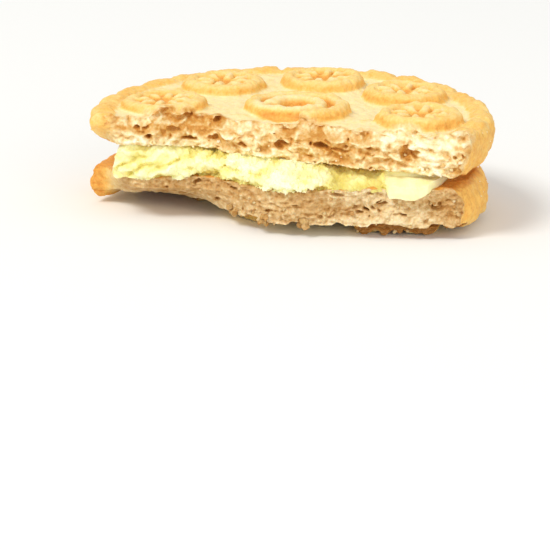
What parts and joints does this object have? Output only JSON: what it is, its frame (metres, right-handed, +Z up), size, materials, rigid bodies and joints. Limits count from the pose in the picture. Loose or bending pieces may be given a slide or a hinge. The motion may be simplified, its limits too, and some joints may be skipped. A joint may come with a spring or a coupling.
{
  "type": "lemon sandwich cookie",
  "caption": "Round fluted sandwich cookie of embossed golden biscuits with pale lemon cream between, its front broken off so that the crumb and filling show.",
  "frame": {"origin": "middle of the outline seen from above, on the surface that the cookie lies on", "axes": "+Z up through the embossed face of the upper biscuit, the break faces -Y, +X along the break to the right"},
  "size_m": [0.0502, 0.0392, 0.0145],
  "materials": {
    "biscuit": "golden baked crust with paler recesses, dry and matt, and an open ivory crumb where it is broken",
    "cream": "pale lemon yellow fat cream, smooth at the edge and chalky where it is torn"
  },
  "bodies": {
    "root": {"lower_biscuit": "biscuit", "lemon_cream": "cream", "upper_biscuit": "biscuit"}
  },
  "joints": []
}
